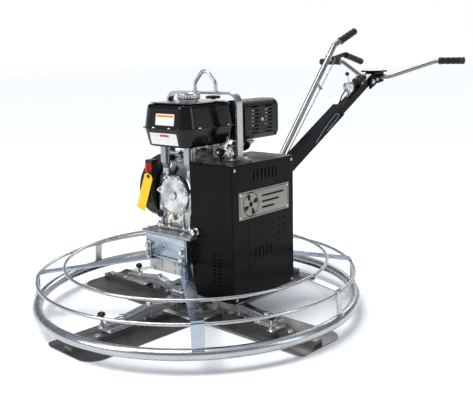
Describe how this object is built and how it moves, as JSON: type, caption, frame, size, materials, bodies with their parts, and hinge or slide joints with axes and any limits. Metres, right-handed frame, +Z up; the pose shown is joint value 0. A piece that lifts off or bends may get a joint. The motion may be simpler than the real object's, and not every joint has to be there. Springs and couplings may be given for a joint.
{
  "type": "power trowel",
  "caption": "Walk-behind power trowel: guard ring, turning rotor with pitching float blades, engine, belt cover, mast, pitch lever and handlebar.",
  "frame": {"origin": "centre of the footprint of the whole machine at the blades' undersides (the floor)", "axes": "+Z up, +Y towards the operator's handlebar, +X to the belt cover side"},
  "size_m": [1.1678, 1.946, 1.007],
  "materials": {
    "zinc": "bright zinc plate",
    "steel": "machined steel",
    "dark_steel": "oil-darkened rolled steel",
    "bolt_steel": "zinc plated",
    "grey_frame": "satin grey paint",
    "cast_arm": "blasted casting, clear lacquer",
    "cast_box": "grey painted casting",
    "cast_alu": "die-cast, bead blasted",
    "machined_alu": "ribbed and polished",
    "brass": "machined bronze",
    "black_paint": "gloss black enamel",
    "tank_black": "deep gloss black",
    "muffler_black": "matte heat-resistant black",
    "recoil_black": "satin black on sheet steel",
    "black_plastic": "moulded, fine grain",
    "black_rubber": "ribbed rubber",
    "red_plastic": "moulded",
    "yellow_card": "laminated card"
  },
  "bodies": {
    "chassis": {"guard_ring": "zinc", "guard_rods": "zinc", "guard_spokes": "zinc", "mount_block": "grey_frame", "engine_deck": "grey_frame", "frame_bolts": "bolt_steel", "gearbox_housing": "cast_box", "gearbox_cover": "cast_box", "gearbox_bearings": "steel", "crankcase": "cast_alu", "cylinder_head": "cast_alu", "valve_cover": "cast_alu", "fan_housing": "recoil_black", "recoil_cover": "recoil_black", "fuel_tank": "tank_black", "tank_brackets": "grey_frame", "air_cleaner": "black_plastic", "carburettor": "machined_alu", "muffler": "steel", "muffler_guard": "muffler_black", "belt_cover": "black_paint", "cover_back_plate": "black_paint", "drive_belt": "black_rubber", "lift_bale": "zinc", "mast_sleeve": "black_paint", "mast_tube": "black_paint", "handlebar_bracket": "grey_frame", "handlebar": "zinc", "handlebar_grips": "black_rubber", "throttle_cable": "black_rubber", "stop_switch_box": "black_plastic"},
    "crank": {"crankshaft": "steel", "flywheel": "cast_box", "clutch_pulley": "steel"},
    "input": {"worm_shaft": "steel", "driven_pulley": "cast_box"},
    "rotor": {"output_shaft": "steel", "worm_wheel": "brass", "spider_hub": "cast_arm"},
    "plate": {"pressure_plate": "steel"},
    "collar": {"thrust_collar": "brass"},
    "yoke": {"pitch_yoke": "grey_frame"},
    "link": {"pitch_link": "zinc"},
    "lever": {"pitch_lever": "zinc", "pitch_lever_grip": "black_rubber"},
    "squeeze": {"squeeze_lever": "black_rubber"},
    "latch": {"latch_rod": "zinc"},
    "throttle": {"throttle_lever": "black_plastic"},
    "cap": {"fuel_cap": "machined_alu"},
    "starter": {"starter_handle": "black_plastic"},
    "switch": {"engine_switch": "red_plastic"},
    "tag": {"hang_tag": "yellow_card"},
    "arm_1": {"trowel_arm_1": "cast_arm", "blade_1": "dark_steel"},
    "arm_2": {"trowel_arm_2": "cast_arm", "blade_2": "dark_steel"},
    "arm_3": {"trowel_arm_3": "cast_arm", "blade_3": "dark_steel"},
    "arm_4": {"trowel_arm_4": "cast_arm", "blade_4": "dark_steel"}
  },
  "joints": [
    {"name": "rotor_spin", "type": "hinge", "parent": "chassis", "child": "rotor", "pos_m": [0, -0.389, 0.1], "axis": [0, 0, 1], "continuous": true},
    {"name": "input_spin", "type": "hinge", "parent": "chassis", "child": "input", "pos_m": [0, -0.333, 0.205], "axis": [1, 0, 0], "continuous": true},
    {"name": "crank_spin", "type": "hinge", "parent": "chassis", "child": "crank", "pos_m": [0, -0.389, 0.44], "axis": [1, 0, 0], "continuous": true},
    {"name": "pitch_lever_swing", "type": "hinge", "parent": "chassis", "child": "lever", "pos_m": [-0.06, 0.078, 0.35], "axis": [1, 0, 0], "range_deg": [0, 12]},
    {"name": "collar_slide", "type": "slide", "parent": "chassis", "child": "collar", "axis": [0, 0, -1], "range_m": [0, 0.0094]},
    {"name": "plate_slide", "type": "slide", "parent": "rotor", "child": "plate", "axis": [0, 0, -1], "range_m": [0, 0.0094]},
    {"name": "yoke_tilt", "type": "hinge", "parent": "chassis", "child": "yoke", "pos_m": [0, -0.269, 0.127], "axis": [1, 0, 0], "range_deg": [0, 4.5]},
    {"name": "link_swing", "type": "hinge", "parent": "lever", "child": "link", "pos_m": [-0.072, 0.09671, 0.32754], "axis": [1, 0, 0], "range_deg": [-13.5, 0]},
    {"name": "arm_1_pitch", "type": "hinge", "parent": "rotor", "child": "arm_1", "pos_m": [-0.00436, -0.4889, 0.046], "axis": [0.0436, 0.999, 0], "range_deg": [0, 12.1]},
    {"name": "arm_2_pitch", "type": "hinge", "parent": "rotor", "child": "arm_2", "pos_m": [0.0999, -0.39336, 0.046], "axis": [-0.999, 0.0436, 0], "range_deg": [0, 12.1]},
    {"name": "arm_3_pitch", "type": "hinge", "parent": "rotor", "child": "arm_3", "pos_m": [0.00436, -0.2891, 0.046], "axis": [-0.0436, -0.999, 0], "range_deg": [0, 12.1]},
    {"name": "arm_4_pitch", "type": "hinge", "parent": "rotor", "child": "arm_4", "pos_m": [-0.0999, -0.38464, 0.046], "axis": [0.999, -0.0436, 0], "range_deg": [0, 12.1]},
    {"name": "squeeze_swing", "type": "hinge", "parent": "lever", "child": "squeeze", "pos_m": [-0.052, 0.56901, 0.87165], "axis": [1, 0, 0], "range_deg": [0, 12], "stiffness_Nm_per_rad": 6, "springref_deg": -20.05},
    {"name": "latch_slide", "type": "slide", "parent": "lever", "child": "latch", "axis": [0, 0.6847, 0.7288], "range_m": [0, 0.005]},
    {"name": "throttle_swing", "type": "hinge", "parent": "chassis", "child": "throttle", "pos_m": [0.008, 0.61455, 0.74507], "axis": [1, 0, 0], "range_deg": [-35, 35]},
    {"name": "fuel_cap_turn", "type": "hinge", "parent": "chassis", "child": "cap", "pos_m": [0.036, -0.439, 0.77], "axis": [0, 0, 1], "range_deg": [0, 90]},
    {"name": "starter_pull", "type": "slide", "parent": "chassis", "child": "starter", "axis": [0, 0.866, 0.5], "range_m": [0, 0.6], "stiffness_N_per_m": 15, "springref_m": -0.4},
    {"name": "engine_switch_turn", "type": "hinge", "parent": "chassis", "child": "switch", "pos_m": [-0.112, -0.499, 0.521], "axis": [0, -1, 0], "range_deg": [0, 60]},
    {"name": "tag_swing", "type": "hinge", "parent": "chassis", "child": "tag", "pos_m": [-0.106, -0.507, 0.491], "axis": [0, -1, 0], "range_deg": [-15, 24]}
  ],
  "couplings": [
    {"joint": "input_spin", "follows": "rotor_spin", "ratio": 20},
    {"joint": "crank_spin", "follows": "rotor_spin", "ratio": 27.556},
    {"joint": "collar_slide", "follows": "pitch_lever_swing", "m_per_rad": 0.043528},
    {"joint": "plate_slide", "follows": "pitch_lever_swing", "m_per_rad": 0.043528},
    {"joint": "yoke_tilt", "follows": "pitch_lever_swing", "ratio": 0.36308},
    {"joint": "link_swing", "follows": "pitch_lever_swing", "ratio": -1.105},
    {"joint": "arm_1_pitch", "follows": "pitch_lever_swing", "ratio": 1},
    {"joint": "arm_2_pitch", "follows": "pitch_lever_swing", "ratio": 1},
    {"joint": "arm_3_pitch", "follows": "pitch_lever_swing", "ratio": 1},
    {"joint": "arm_4_pitch", "follows": "pitch_lever_swing", "ratio": 1},
    {"joint": "latch_slide", "follows": "squeeze_swing", "m_per_rad": 0.022}
  ]
}
